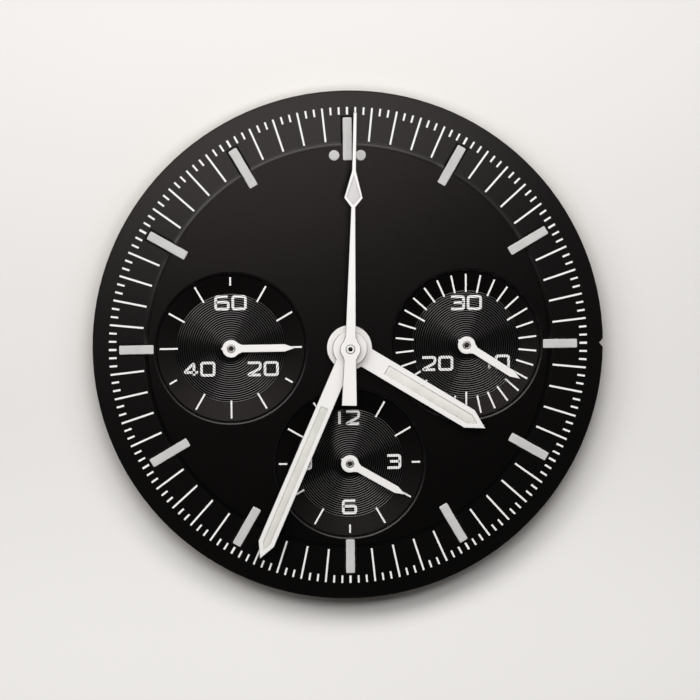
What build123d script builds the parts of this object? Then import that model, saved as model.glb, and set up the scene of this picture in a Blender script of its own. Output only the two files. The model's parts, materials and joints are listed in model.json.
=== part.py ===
from build123d import *
import math
import os

# A black three-register chronograph dial with its set of white hands, ready for a movement.
# Millimetres. The back of the dial lies on z = 0 and its face looks along +Z.
# +Y runs from the centre to 12 o'clock and +X to 3 o'clock. Clock angles run clockwise from 12.

# Dial plate
dial_diameter = 33.5
plate_thickness = 0.50
deck_step = 0.12
chapter_ring_width = 3.39
deck_slope_run = 0.24
rim_chamfer = 0.05
notch_width = 0.62
notch_depth = 0.25
notch_clock_angle = 90.0

# Three sunk subdials, each a turned disc let into the plate from behind
subdial_clock_angles = {"hour_counter": 180.0, "running_seconds": 270.0, "minute_counter": 90.0}
subdial_recess_depth = 0.22
subdial_wall_run = 0.14
subdial_seat_lip = 0.33
subdial_web = 0.62
subdial_edge_margin = 0.68
seat_clearance = 0.01

# Luminous hour markers on raised tabs of the plate
marker_width = 0.59
marker_height = 0.08
marker_length = 2.80
marker_rim_distance = 1.73
marker_edge_chamfer = 0.02
marker_subdial_gap = 0.09
tab_side_margin = 0.13
tab_end_margin = 0.10
tab_slope_run = 0.10
dot_diameter = 0.70
dot_side_distance = 0.865
dot_rim_distance = 4.20

# White print
print_thickness = 0.02
track_rim_distance = 1.06
track_step_margin = 0.13
fraction_tick_length = 0.49
tick_width = 0.12
hour_tick_width = 0.14
fractions_per_minute = 3
subdial_tick_rim_distance = 0.17
subdial_tick_length = 1.18
subdial_long_tick_length = 1.52
subdial_short_tick_length = 0.55
subdial_tick_width = 0.11
# Lines in a turn, how often one is short beside a number, and which ones are extra long
subdial_ticks = {
    "running_seconds": (12, 4, ()),
    "minute_counter": (30, 0, (5, 15, 25)),
    "hour_counter": (12, 3, ()),
}

# Copper feet under the dial
foot_diameter = 0.75
foot_length = 1.70
foot_end_chamfer = 0.08
foot_pad_diameter = 1.60
foot_pad_thickness = 0.10
foot_rim_distance = 1.85
foot_clock_angles = (38.0, 212.0)

# Hand collets: a tube below the blade, and a thinner neck riveted into a flared hole of the hub
hour_bore_radius = 0.75
minute_bore_radius = 0.45
chronograph_bore_radius = 0.125
counter_bore_radius = 0.15
pipe_clearance = 0.17
end_shake = 0.02
hour_tube_wall = 0.25
tube_shoulder = 0.08
minute_neck_wall = 0.15
chronograph_neck_wall = 0.19
counter_neck_wall = 0.135
neck_flare = 0.02
tube_foot_overlap = 0.07
counter_foot_overlap = 0.08
collet_sink = 0.03

# Heights in the stack of hands
counter_hand_gap = 0.14
counter_hand_thickness = 0.14
hour_hand_gap = 0.20
hour_hand_thickness = 0.18
minute_hand_gap = 0.30
minute_hand_thickness = 0.18
chronograph_hand_gap = 0.30
chronograph_hand_thickness = 0.14
blade_chamfer = 0.03

# Hour hand
hour_boss_wall = 0.56
hour_tip_marker_gap = 1.77
hour_blade_width = 1.36
hour_point_length = 1.24
hour_clock_angle = 121.6

# Minute hand
minute_boss_wall = 0.53
minute_tip_rim_distance = 1.73
minute_root_width = 1.05
minute_blade_width = 1.09
minute_point_length = 1.05
minute_clock_angle = 203.6

# Windows for luminous paint in the hour and minute hands
hour_window_frame = 0.36
minute_window_root_width = 0.50
minute_window_frame = 0.30
hour_window_start = 2.84
minute_window_start = 4.22
window_point_margin = 0.62
lume_sink = 0.04

# Central chronograph seconds hand
chronograph_hub_wall = 0.355
chronograph_tip_rim_distance = 1.30
chronograph_root_width = 0.70
chronograph_shaft_width = 0.28
needle_length = 3.77
diamond_front_length = 1.80
diamond_back_length = 0.60
diamond_width = 1.22
needle_root_width = 0.26
needle_tip_width = 0.22
tail_length = 3.72
tail_root_width = 0.74
tail_end_width = 1.00
hub_neck_reach = 0.12
diamond_frame = 0.15
chronograph_clock_angle = 1.57

# Three small counter hands
counter_hub_wall = 0.30
counter_blade_width = 0.50
counter_point_length = 0.70
counter_tail_reach = 0.10
counter_tail_width = 0.36
counter_neck_reach = 0.12
counter_tip_rim_distance = 0.61
counter_hand_clock_angles = {"running_seconds": 90.0, "minute_counter": 123.0, "hour_counter": 120.2}

overrun = 0.50
hours_on_dial = 12
minutes_per_hour_mark = 5
full_turn = 360.0

# Radii of the plate
dial_radius = dial_diameter / 2
ring_thickness = plate_thickness - deck_step
deck_radius = dial_radius - chapter_ring_width
centre_hole_radius = hour_bore_radius + pipe_clearance
minute_tick_length = chapter_ring_width - track_rim_distance - track_step_margin

# The three subdials are as large as the deck allows, with a web left between two neighbours
quarter_turn_spread = math.sqrt(2) / 2
subdial_reach = deck_radius - subdial_edge_margin + subdial_seat_lip - subdial_wall_run
subdial_distance = (subdial_reach + subdial_web / 2) / (1 + quarter_turn_spread)
subdial_seat_radius = subdial_distance * quarter_turn_spread - subdial_web / 2
subdial_radius = subdial_seat_radius - subdial_seat_lip
subdial_top_radius = subdial_radius + subdial_wall_run
subdial_floor = plate_thickness - subdial_recess_depth
counter_hole_radius = counter_bore_radius + pipe_clearance

# Markers and their tabs
marker_outer_radius = dial_radius - marker_rim_distance
marker_inner_radius = marker_outer_radius - marker_length
short_marker_inner_radius = subdial_distance + subdial_top_radius + marker_subdial_gap
tab_outer_radius = marker_outer_radius + tab_end_margin
tab_width = marker_width + 2 * tab_side_margin

# Lengths of the hands, and the places along the chronograph hand
minute_hand_length = dial_radius - minute_tip_rim_distance
hour_hand_length = marker_inner_radius - hour_tip_marker_gap
counter_hand_length = subdial_radius - counter_tip_rim_distance
chronograph_hand_length = dial_radius - chronograph_tip_rim_distance
needle_start = chronograph_hand_length - needle_length
diamond_wide_place = needle_start - diamond_front_length
diamond_start = diamond_wide_place - diamond_back_length

# Collets
hour_tube_radius = hour_bore_radius + hour_tube_wall
hour_neck_radius = hour_tube_radius - tube_shoulder
minute_tube_radius = hour_bore_radius + tube_foot_overlap
minute_neck_radius = minute_bore_radius + minute_neck_wall
chronograph_tube_radius = minute_bore_radius + tube_foot_overlap
chronograph_neck_radius = chronograph_bore_radius + chronograph_neck_wall
counter_tube_radius = counter_hole_radius + counter_foot_overlap
counter_neck_radius = counter_bore_radius + counter_neck_wall

# Levels of the hands, from the subdials up
counter_hand_bottom = plate_thickness + counter_hand_gap
counter_hand_top = counter_hand_bottom + counter_hand_thickness
hour_hand_bottom = counter_hand_top + hour_hand_gap
hour_hand_top = hour_hand_bottom + hour_hand_thickness
minute_hand_bottom = hour_hand_top + minute_hand_gap
minute_hand_top = minute_hand_bottom + minute_hand_thickness
chronograph_hand_bottom = minute_hand_top + chronograph_hand_gap
chronograph_hand_top = chronograph_hand_bottom + chronograph_hand_thickness

STANDING = (Align.CENTER, Align.CENTER, Align.MIN)
ALONG_RADIUS = (Align.CENTER, Align.MIN, Align.MIN)


def at_clock(angle, radius=0, height=0):
    """The place at a clock angle and radius, turned so that local +Y points outwards."""
    return Rot(0, 0, -angle) * Pos(0, radius, height)


def subdial_place(name):
    """The centre of a subdial on the back plane, with local +Y still towards 12."""
    angle = math.radians(subdial_clock_angles[name])
    return Pos(subdial_distance * math.sin(angle), subdial_distance * math.cos(angle), 0)


def evenly_spaced(count):
    """Clock angles that share a full turn evenly, starting at 12."""
    return [full_turn * index / count for index in range(count)]


def is_beside_subdial(angle):
    """True at 3, 6 and 9, where a subdial leaves room for a shorter marker only."""
    return any(math.isclose(angle, taken) for taken in subdial_clock_angles.values())


def raised_tab():
    """A tab that carries an hour marker across the step, its walls sloping in towards the top."""
    slope = math.degrees(math.atan2(tab_slope_run, deck_step))
    run = tab_outer_radius - marker_inner_radius
    foot = Rectangle(tab_width, run, align=(Align.CENTER, Align.MIN))
    return Pos(0, marker_inner_radius, ring_thickness) * extrude(foot, amount=deck_step, taper=slope)


def dial_plate():
    """The stepped plate with twelve tabs, three subdial openings and a V notch at 3 o'clock."""
    profile = Polygon(
        (0, 0),
        (dial_radius, 0),
        (dial_radius, ring_thickness - rim_chamfer),
        (dial_radius - rim_chamfer, ring_thickness),
        (deck_radius, ring_thickness),
        (deck_radius - deck_slope_run, plate_thickness),
        (0, plate_thickness),
        align=None,
    )
    plate = revolve(Plane.XZ * profile, Axis.Z)
    tab = raised_tab()
    for angle in evenly_spaced(hours_on_dial):
        plate += at_clock(angle) * tab
    plate -= Cylinder(centre_hole_radius, plate_thickness, align=STANDING)
    for name in subdial_clock_angles:
        place = subdial_place(name)
        plate -= place * Cylinder(subdial_seat_radius, subdial_floor, align=STANDING)
        opening = Cone(subdial_radius, subdial_top_radius, subdial_recess_depth, align=STANDING)
        plate -= place * Pos(0, 0, subdial_floor) * opening
    for angle in foot_clock_angles:
        seat = Cylinder(foot_pad_diameter / 2, foot_pad_thickness, align=STANDING)
        plate -= at_clock(angle, dial_radius - foot_rim_distance) * seat
    notch_spread = notch_width / 2 * (notch_depth + overrun) / notch_depth
    notch = Polygon(
        (0, dial_radius - notch_depth),
        (notch_spread, dial_radius + overrun),
        (-notch_spread, dial_radius + overrun),
        align=None,
    )
    return plate - at_clock(notch_clock_angle) * extrude(notch, amount=plate_thickness)


def subdial_disc(name):
    """A turned disc that fills its seat, with a hole for the arbor of its hand."""
    disc = Cylinder(subdial_seat_radius - seat_clearance, subdial_floor, align=STANDING)
    disc -= Cylinder(counter_hole_radius, subdial_floor, align=STANDING)
    return subdial_place(name) * disc


def tick(outer_radius, length, width, angle, base):
    """One printed line that ends at an outer radius."""
    line = Box(width, length, print_thickness, align=ALONG_RADIUS)
    return at_clock(angle, outer_radius - length, base) * line


def minute_track():
    """Three lines a minute, the first of them long except beyond an hour marker."""
    outer = dial_radius - track_rim_distance
    lines_per_hour_mark = minutes_per_hour_mark * fractions_per_minute
    lines = []
    for index, angle in enumerate(evenly_spaced(hours_on_dial * lines_per_hour_mark)):
        is_minute = index % fractions_per_minute == 0
        is_hour = index % lines_per_hour_mark == 0
        length = minute_tick_length if is_minute and not is_hour else fraction_tick_length
        width = hour_tick_width if is_hour else tick_width
        lines.append(tick(outer, length, width, angle, ring_thickness))
    return Compound(children=lines)


def subdial_scale(name, count, short_every, long_at):
    """The printed lines of one subdial: short beside its numbers, and extra long where named."""
    outer = subdial_radius - subdial_tick_rim_distance
    place = subdial_place(name)
    lines = []
    for index, angle in enumerate(evenly_spaced(count)):
        length = subdial_tick_length
        if short_every and index % short_every == 0:
            length = subdial_short_tick_length
        if index in long_at:
            length = subdial_long_tick_length
        lines.append(place * tick(outer, length, subdial_tick_width, angle, subdial_floor))
    return Compound(children=lines)


def hour_marker(angle):
    """A block of luminous paint on its tab, with softened upper edges."""
    inner = short_marker_inner_radius if is_beside_subdial(angle) else marker_inner_radius
    length = marker_outer_radius - inner
    block = Box(marker_width, length, marker_height, align=ALONG_RADIUS)
    block = chamfer(block.faces().sort_by(Axis.Z)[-1].edges(), marker_edge_chamfer)
    return at_clock(angle, inner, plate_thickness) * block


def twelve_dot(side):
    """One of the two luminous dots that flank the marker at 12."""
    dot = Cylinder(dot_diameter / 2, marker_height, align=STANDING)
    dot = chamfer(dot.faces().sort_by(Axis.Z)[-1].edges(), marker_edge_chamfer)
    return Pos(side * dot_side_distance, dial_radius - dot_rim_distance, plate_thickness) * dot


def dial_foot(angle):
    """A copper pin on a round pad that is sunk flush into the back of the plate."""
    pin = Pos(0, 0, -foot_length) * Cylinder(foot_diameter / 2, foot_length, align=STANDING)
    pin = chamfer(pin.faces().sort_by(Axis.Z)[0].edges(), foot_end_chamfer)
    pad = Cylinder(foot_pad_diameter / 2 - seat_clearance, foot_pad_thickness, align=STANDING)
    return at_clock(angle, dial_radius - foot_rim_distance) * (pin + pad)


def outline(stations):
    """A face symmetrical about +Y from (distance along Y, half width) pairs."""
    right = [(half, along) for along, half in stations]
    left = [(-half, along) for along, half in reversed(stations) if half > 0]
    return Polygon(*right, *left, align=None)


def blade(face, bottom, thickness, neck_radius):
    """A hand stamped from a face, with softened upper edges and a flared hole for its collet."""
    hand = extrude(face, amount=thickness)
    rim = hand.faces().sort_by(Axis.Z)[-1].outer_wire().edges()
    hand = chamfer(rim, blade_chamfer)
    hand -= Cone(neck_radius - neck_flare, neck_radius, thickness, align=STANDING)
    return Pos(0, 0, bottom) * hand


def collet(bottom, hand_bottom, hand_top, tube_radius, neck_radius, bore_radius):
    """A turned tube: wide up to the underside of its hand, then a flared neck through the hub."""
    shortfall = neck_flare * collet_sink / (hand_top - hand_bottom)
    profile = Polygon(
        (bore_radius, bottom),
        (tube_radius, bottom),
        (tube_radius, hand_bottom),
        (neck_radius - neck_flare, hand_bottom),
        (neck_radius - shortfall, hand_top - collet_sink),
        (bore_radius, hand_top - collet_sink),
        align=None,
    )
    return revolve(Plane.XZ * profile, Axis.Z)


def window(start, length, root_width, end_width, frame_width, point_length):
    """The long opening that holds luminous paint, pointed like the hand's own tip."""
    tip = length - window_point_margin
    return outline([
        (start, root_width / 2),
        (tip - point_length * end_width / (end_width + 2 * frame_width), end_width / 2),
        (tip, 0),
    ])


def hour_hand_parts():
    """Blade, luminous filling and collet of the hour hand, pointing to 12."""
    face = Circle(hour_neck_radius + hour_boss_wall) + outline([
        (0, hour_blade_width / 2),
        (hour_hand_length - hour_point_length, hour_blade_width / 2),
        (hour_hand_length, 0),
    ])
    slot_width = hour_blade_width - 2 * hour_window_frame
    slot = window(hour_window_start, hour_hand_length, slot_width, slot_width,
                  hour_window_frame, hour_point_length)
    hand = blade(face, hour_hand_bottom, hour_hand_thickness, hour_neck_radius)
    hand -= Pos(0, 0, hour_hand_bottom) * extrude(slot, amount=hour_hand_thickness)
    lume = Pos(0, 0, hour_hand_bottom) * extrude(slot, amount=hour_hand_thickness - lume_sink)
    tube = collet(plate_thickness + end_shake, hour_hand_bottom, hour_hand_top,
                  hour_tube_radius, hour_neck_radius, hour_bore_radius)
    return {"hour_hand": hand, "hour_hand_lume": lume, "hour_hand_tube": tube}


def minute_hand_parts():
    """Blade, luminous filling and collet of the minute hand, pointing to 12."""
    face = Circle(minute_neck_radius + minute_boss_wall) + outline([
        (0, minute_root_width / 2),
        (minute_hand_length - minute_point_length, minute_blade_width / 2),
        (minute_hand_length, 0),
    ])
    slot_width = minute_blade_width - 2 * minute_window_frame
    slot = window(minute_window_start, minute_hand_length, minute_window_root_width, slot_width,
                  minute_window_frame, minute_point_length)
    hand = blade(face, minute_hand_bottom, minute_hand_thickness, minute_neck_radius)
    hand -= Pos(0, 0, minute_hand_bottom) * extrude(slot, amount=minute_hand_thickness)
    lume = Pos(0, 0, minute_hand_bottom) * extrude(slot, amount=minute_hand_thickness - lume_sink)
    tube = collet(hour_hand_top - collet_sink + end_shake, minute_hand_bottom, minute_hand_top,
                  minute_tube_radius, minute_neck_radius, minute_bore_radius)
    return {"minute_hand": hand, "minute_hand_lume": lume, "minute_hand_tube": tube}


def chronograph_hand_parts():
    """The long seconds hand with its broad tail and diamond head, pointing to 12."""
    hub_radius = chronograph_neck_radius + chronograph_hub_wall
    neck_end = hub_radius + hub_neck_reach
    face = Circle(hub_radius)
    face += outline([
        (0, chronograph_root_width / 2),
        (diamond_start, chronograph_shaft_width / 2),
        (diamond_wide_place, diamond_width / 2),
        (needle_start, needle_root_width / 2),
        (chronograph_hand_length, needle_tip_width / 2),
    ])
    face += outline([
        (-tail_length, tail_end_width / 2),
        (0, tail_root_width / 2),
    ])
    face += outline([
        (-neck_end, tail_root_width / 2),
        (0, hub_radius),
        (neck_end, chronograph_root_width / 2),
    ])
    hand = blade(face, chronograph_hand_bottom, chronograph_hand_thickness, chronograph_neck_radius)
    head = outline([
        (diamond_start + diamond_frame, 0),
        (diamond_wide_place + diamond_frame / 2, diamond_width / 2 - diamond_frame),
        (needle_start - diamond_frame * 2, 0),
    ])
    hand -= Pos(0, 0, chronograph_hand_bottom) * extrude(head, amount=chronograph_hand_thickness)
    lume = Pos(0, 0, chronograph_hand_bottom) * extrude(
        head, amount=chronograph_hand_thickness - lume_sink)
    tube = collet(minute_hand_top - collet_sink + end_shake, chronograph_hand_bottom,
                  chronograph_hand_top,
                  chronograph_tube_radius, chronograph_neck_radius, chronograph_bore_radius)
    return {"chronograph_hand": hand, "chronograph_hand_lume": lume, "chronograph_hand_tube": tube}


def counter_hand_parts(name):
    """A small hand for one subdial, pointing to 12, with its collet."""
    hub_radius = counter_neck_radius + counter_hub_wall
    face = Circle(hub_radius)
    face += outline([
        (-hub_radius - counter_tail_reach, 0),
        (-hub_radius + counter_tail_reach, counter_tail_width / 2),
        (0, counter_tail_width / 2),
    ])
    face += outline([
        (0, hub_radius),
        (hub_radius + counter_neck_reach, counter_blade_width / 2),
    ])
    face += outline([
        (0, counter_blade_width / 2),
        (counter_hand_length - counter_point_length, counter_blade_width / 2),
        (counter_hand_length, 0),
    ])
    hand = blade(face, counter_hand_bottom, counter_hand_thickness, counter_neck_radius)
    tube = collet(subdial_floor + end_shake, counter_hand_bottom, counter_hand_top,
                  counter_tube_radius, counter_neck_radius, counter_bore_radius)
    return {name + "_hand": hand, name + "_hand_tube": tube}


def all_parts():
    """Every node of the model, by name, in its place."""
    parts = {"dial_plate": dial_plate()}
    for name in subdial_clock_angles:
        parts[name + "_subdial"] = subdial_disc(name)
        parts[name + "_scale"] = subdial_scale(name, *subdial_ticks[name])
    parts["minute_track"] = minute_track()
    for index, angle in enumerate(evenly_spaced(hours_on_dial)):
        hour = index or hours_on_dial
        parts["hour_marker_%02d" % hour] = hour_marker(angle)
    parts["twelve_dot_left"] = twelve_dot(-1)
    parts["twelve_dot_right"] = twelve_dot(1)
    for index, angle in enumerate(foot_clock_angles):
        parts["dial_foot_%d" % (index + 1)] = dial_foot(angle)
    central_hands = (
        (hour_hand_parts(), hour_clock_angle),
        (minute_hand_parts(), minute_clock_angle),
        (chronograph_hand_parts(), chronograph_clock_angle),
    )
    for pieces, angle in central_hands:
        for name, piece in pieces.items():
            parts[name] = at_clock(angle) * piece
    for subdial, angle in counter_hand_clock_angles.items():
        for name, piece in counter_hand_parts(subdial).items():
            parts[name] = subdial_place(subdial) * at_clock(angle) * piece
    return parts


os.makedirs("parts", exist_ok=True)
for node, piece in all_parts().items():
    export_step(piece, "parts/" + node + ".step")
    print(node, len(piece.solids()), "solids", round(sum(s.volume for s in piece.solids()), 4), "mm3")
print("subdial centres", round(subdial_distance, 3), "mm out, radius", round(subdial_radius, 3), "mm")
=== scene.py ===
# %% [markdown]
# This lesson dresses a black chronograph dial and its set of white hands for a close photograph.
# The solid model was drawn in CAD and is loaded as a fixed frame. What Blender adds is the finish:
# satin lacquer, turned grooves, printed numbers and luminous paint. All sizes are real. The dial
# measures 33.5 mm across, so a millimetre is the handy unit here.

# %% Load the frame
import json
import math
import bpy
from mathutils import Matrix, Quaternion, Vector

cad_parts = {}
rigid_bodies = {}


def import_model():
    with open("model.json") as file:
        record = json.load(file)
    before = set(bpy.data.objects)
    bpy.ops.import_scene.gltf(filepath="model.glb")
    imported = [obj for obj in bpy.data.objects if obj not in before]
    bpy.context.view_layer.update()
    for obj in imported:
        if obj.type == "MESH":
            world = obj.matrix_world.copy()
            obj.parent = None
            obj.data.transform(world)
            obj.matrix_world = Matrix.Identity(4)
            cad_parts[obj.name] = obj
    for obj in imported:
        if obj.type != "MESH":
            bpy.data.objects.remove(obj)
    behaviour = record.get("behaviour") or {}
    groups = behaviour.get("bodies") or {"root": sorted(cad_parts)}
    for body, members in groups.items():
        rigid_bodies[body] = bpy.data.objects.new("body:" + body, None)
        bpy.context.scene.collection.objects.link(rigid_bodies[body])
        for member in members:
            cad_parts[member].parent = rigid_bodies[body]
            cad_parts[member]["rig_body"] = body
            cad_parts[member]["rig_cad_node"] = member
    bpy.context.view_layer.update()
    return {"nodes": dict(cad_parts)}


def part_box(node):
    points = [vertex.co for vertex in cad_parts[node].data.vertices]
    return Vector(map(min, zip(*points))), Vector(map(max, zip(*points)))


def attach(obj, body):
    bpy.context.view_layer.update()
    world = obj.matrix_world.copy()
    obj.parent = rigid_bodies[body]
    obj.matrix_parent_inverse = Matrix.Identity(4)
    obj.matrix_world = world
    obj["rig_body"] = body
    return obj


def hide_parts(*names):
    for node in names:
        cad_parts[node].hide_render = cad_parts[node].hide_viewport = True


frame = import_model()
nodes = frame["nodes"]
mm = 0.001

# %% [markdown]
# The dial is photographed from above with a long lens, so its outline stays round. The camera
# leans a little towards 12 o'clock, and less towards 9, so the raised hands shift towards 6 and 3.
# The lens is worked out from the distance and from the width of the picture at the dial, and a
# small roll turns the 12 marker slightly to the left. Lens shift and depth of field stay off.

# %% Place the camera
view_width = 45.84 * mm
camera_distance = 300 * mm
camera_lean = math.radians(6.8)
camera_side_lean = math.radians(3.8)
camera_roll = math.radians(-0.89)
sensor_width = 36.0
aim = Vector((0.08, -0.24, 0.40)) * mm
lean = Quaternion((1, 0, 0), -camera_lean) @ Quaternion((0, 1, 0), -camera_side_lean)
towards_camera = lean @ Vector((0, 0, 1))
turn = lean @ Quaternion((0, 0, 1), camera_roll)
camera_place = aim + towards_camera * camera_distance
bpy.ops.object.camera_add(location=camera_place, rotation=turn.to_euler())
camera = bpy.context.object
camera.name = "close_up_camera"
camera.data.sensor_width = sensor_width
camera.data.lens = sensor_width * camera_distance / view_width
camera.data.clip_start = 1 * mm
bpy.context.scene.camera = camera
bpy.context.scene.view_settings.view_transform = "Standard"
print("lens", round(camera.data.lens, 1), "mm")

# %% [markdown]
# Black lacquer shows mostly what it mirrors, so the light is planned as for a piece of jewellery.
# A broad soft lamp beyond 12 o'clock gives the plain light in which white looks white. Two weaker
# ones at its sides widen the bright fans on the turned subdials. A narrow lamp close above the
# dial lays a sheen on the lacquer near 12 o'clock, which fades to black towards 6. The world is
# pale at the horizon and dark overhead, as under a dark ceiling.

# %% Light the dial
daylight = (1.0, 0.985, 0.97)


def add_soft_lamp(name, place, width, depth, power):
    """An oval area lamp at a place in millimetres, aimed at the middle of the dial."""
    location = Vector(place) * mm
    aim_turn = (-location).to_track_quat("-Z", "Y")
    bpy.ops.object.light_add(type="AREA", location=location, rotation=aim_turn.to_euler())
    lamp = bpy.context.object
    lamp.name = name
    lamp.data.shape = "ELLIPSE"
    lamp.data.size = width * mm
    lamp.data.size_y = depth * mm
    lamp.data.energy = power
    lamp.data.color = daylight
    lamp.visible_camera = False


add_soft_lamp("key_lamp", (-60, 225, 260), width=440, depth=150, power=1.22)
add_soft_lamp("left_lamp", (-255, 115, 210), width=200, depth=120, power=0.24)
add_soft_lamp("right_lamp", (200, 170, 250), width=300, depth=140, power=0.26)
add_soft_lamp("sheen_lamp", (-2, 11.5, 68), width=47, depth=18, power=0.018)
world = bpy.data.worlds.new("studio_world")
bpy.context.scene.world = world
world.use_nodes = True
sky = world.node_tree
sky_colour = sky.nodes["Background"].inputs["Color"]
direction = sky.nodes.new("ShaderNodeTexCoord")
parts_of_direction = sky.nodes.new("ShaderNodeSeparateXYZ")
ceiling = sky.nodes.new("ShaderNodeValToRGB")
ceiling.color_ramp.elements[0].position = 0.05
ceiling.color_ramp.elements[0].color = (0.45, 0.45, 0.45, 1)
ceiling.color_ramp.elements[1].position = 0.55
ceiling.color_ramp.elements[1].color = (0.004, 0.004, 0.004, 1)
sky.links.new(direction.outputs["Generated"], parts_of_direction.inputs["Vector"])
sky.links.new(parts_of_direction.outputs["Z"], ceiling.inputs["Fac"])
sky.links.new(ceiling.outputs["Color"], sky_colour)
print("four lamps and a world")

# %% [markdown]
# Materials repeat a few effects: a fine grain in paint, rings left by a turning tool, and specks
# of dust. Each effect is built once as a node group with named inputs, and then placed in every
# material with its own values. A short helper makes a node and fills its inputs by name.

# %% Helpers for nodes


def add_node(tree, kind, settings=None, **values):
    """A shader node with its settings, and with inputs filled or linked by name or by number."""
    made = tree.nodes.new(kind)
    for key, setting in (settings or {}).items():
        setattr(made, key, setting)
    for key, value in values.items():
        label = int(key[1:]) if key[1:].isdigit() else key.replace("_", " ")
        socket = made.inputs[label]
        if isinstance(value, bpy.types.NodeSocket):
            tree.links.new(value, socket)
        else:
            socket.default_value = value
    return made


def arithmetic(tree, operation, first, second=0.0):
    """The output of a Math node."""
    made = add_node(tree, "ShaderNodeMath", {"operation": operation}, i0=first, i1=second)
    return made.outputs[0]


def object_place(tree):
    """The place of a surface point, in metres from the dial's origin."""
    return add_node(tree, "ShaderNodeTexCoord").outputs["Object"]


def place_in_millimetres(tree):
    """The same place in millimetres, for patterns whose size is named in them."""
    place = object_place(tree)
    return add_node(
        tree, "ShaderNodeVectorMath", {"operation": "SCALE"}, Vector=place, Scale=1 / mm
    ).outputs[0]


def component(tree, vector, axis):
    """The X, Y or Z value of a vector."""
    return add_node(tree, "ShaderNodeSeparateXYZ", Vector=vector).outputs[axis]


def begin_group(name, inputs, outputs):
    """An empty node group with float or vector sockets, and its two end nodes."""
    tree = bpy.data.node_groups.new(name, "ShaderNodeTree")
    for label, kind, value in inputs:
        socket = tree.interface.new_socket(label, in_out="INPUT", socket_type=kind)
        socket.default_value = value
    for label in outputs:
        tree.interface.new_socket(label, in_out="OUTPUT", socket_type="NodeSocketFloat")
    return tree, tree.nodes.new("NodeGroupInput"), tree.nodes.new("NodeGroupOutput")


def place_group(tree, group, **values):
    """A node group placed in a material, with its inputs filled by name."""
    return add_node(tree, "ShaderNodeGroup", {"node_tree": group}, **values)


print("node helpers ready")

# %% [markdown]
# Fine grain: sprayed or printed paint is never quite even. Two sizes of noise give a value that
# drifts slowly over the surface and a small height for the bump.

# %% Fine grain group
fine_grain, ends_in, ends_out = begin_group(
    "fine_grain",
    [("Grain size", "NodeSocketFloat", 0.05), ("Drift size", "NodeSocketFloat", 4.0)],
    ["Height", "Drift"],
)
place = place_in_millimetres(fine_grain)
grain_scale = arithmetic(fine_grain, "DIVIDE", 1.0, ends_in.outputs["Grain size"])
drift_scale = arithmetic(fine_grain, "DIVIDE", 1.0, ends_in.outputs["Drift size"])
grain_noise = add_node(
    fine_grain, "ShaderNodeTexNoise", Vector=place, Scale=grain_scale, Detail=2.0
)
drift_noise = add_node(
    fine_grain, "ShaderNodeTexNoise", Vector=place, Scale=drift_scale, Detail=3.0
)
fine_grain.links.new(grain_noise.outputs[0], ends_out.inputs["Height"])
fine_grain.links.new(drift_noise.outputs[0], ends_out.inputs["Drift"])
print(fine_grain.name, "has", len(fine_grain.nodes), "nodes")

# %% [markdown]
# Turned rings: a lathe tool leaves even rings round one centre. The distance from that centre,
# divided by the pitch, goes through a cosine, so the height is 0 between two rings and 1 in the
# middle of each. The distance itself, in millimetres, is put out too.

# %% Turned rings group
turned_rings, ends_in, ends_out = begin_group(
    "turned_rings",
    [
        ("Centre", "NodeSocketVector", (0.0, 0.0, 0.0)),
        ("Pitch", "NodeSocketFloat", 0.145),
        ("Start", "NodeSocketFloat", 0.0),
    ],
    ["Height", "Radius"],
)
from_centre = add_node(
    turned_rings, "ShaderNodeVectorMath", {"operation": "SUBTRACT"},
    i0=object_place(turned_rings), i1=ends_in.outputs["Centre"],
).outputs[0]
flattened = add_node(
    turned_rings, "ShaderNodeVectorMath", {"operation": "MULTIPLY"},
    i0=from_centre, i1=(1 / mm, 1 / mm, 0.0),
).outputs[0]
radius = add_node(
    turned_rings, "ShaderNodeVectorMath", {"operation": "LENGTH"}, i0=flattened
).outputs["Value"]
beyond_start = arithmetic(turned_rings, "SUBTRACT", radius, ends_in.outputs["Start"])
turns = arithmetic(turned_rings, "DIVIDE", beyond_start, ends_in.outputs["Pitch"])
turned_angle = arithmetic(turned_rings, "MULTIPLY", turns, 2 * math.pi)
wave = arithmetic(turned_rings, "COSINE", turned_angle)
height = add_node(
    turned_rings, "ShaderNodeMath", {"operation": "MULTIPLY_ADD"}, i0=wave, i1=-0.5, i2=0.5
).outputs[0]
turned_rings.links.new(height, ends_out.inputs["Height"])
turned_rings.links.new(radius, ends_out.inputs["Radius"])
print(turned_rings.name, "has", len(turned_rings.nodes), "nodes")

# %% [markdown]
# Settled dust: a dial that lies in the open gathers a few pale specks. Voronoi cells share the
# surface out, one speck may sit in each, and a random value decides which cells have one.

# %% Settled dust group
settled_dust, ends_in, ends_out = begin_group(
    "settled_dust",
    [
        ("Spacing", "NodeSocketFloat", 1.6),
        ("Speck size", "NodeSocketFloat", 0.03),
        ("Share", "NodeSocketFloat", 0.15),
    ],
    ["Mask"],
)
place = place_in_millimetres(settled_dust)
spacing = ends_in.outputs["Spacing"]
cell_scale = arithmetic(settled_dust, "DIVIDE", 1.0, spacing)
cells = add_node(settled_dust, "ShaderNodeTexVoronoi", Vector=place, Scale=cell_scale)
speck_reach = arithmetic(settled_dust, "DIVIDE", ends_in.outputs["Speck size"], spacing)
is_near = arithmetic(settled_dust, "LESS_THAN", cells.outputs["Distance"], speck_reach)
cell_value = add_node(
    settled_dust, "ShaderNodeSeparateColor", Color=cells.outputs["Color"]
).outputs[0]
is_chosen = arithmetic(settled_dust, "LESS_THAN", cell_value, ends_in.outputs["Share"])
is_speck = arithmetic(settled_dust, "MULTIPLY", is_near, is_chosen)
settled_dust.links.new(is_speck, ends_out.inputs["Mask"])
print(settled_dust.name, "has", len(settled_dust.nodes), "nodes")

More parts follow.
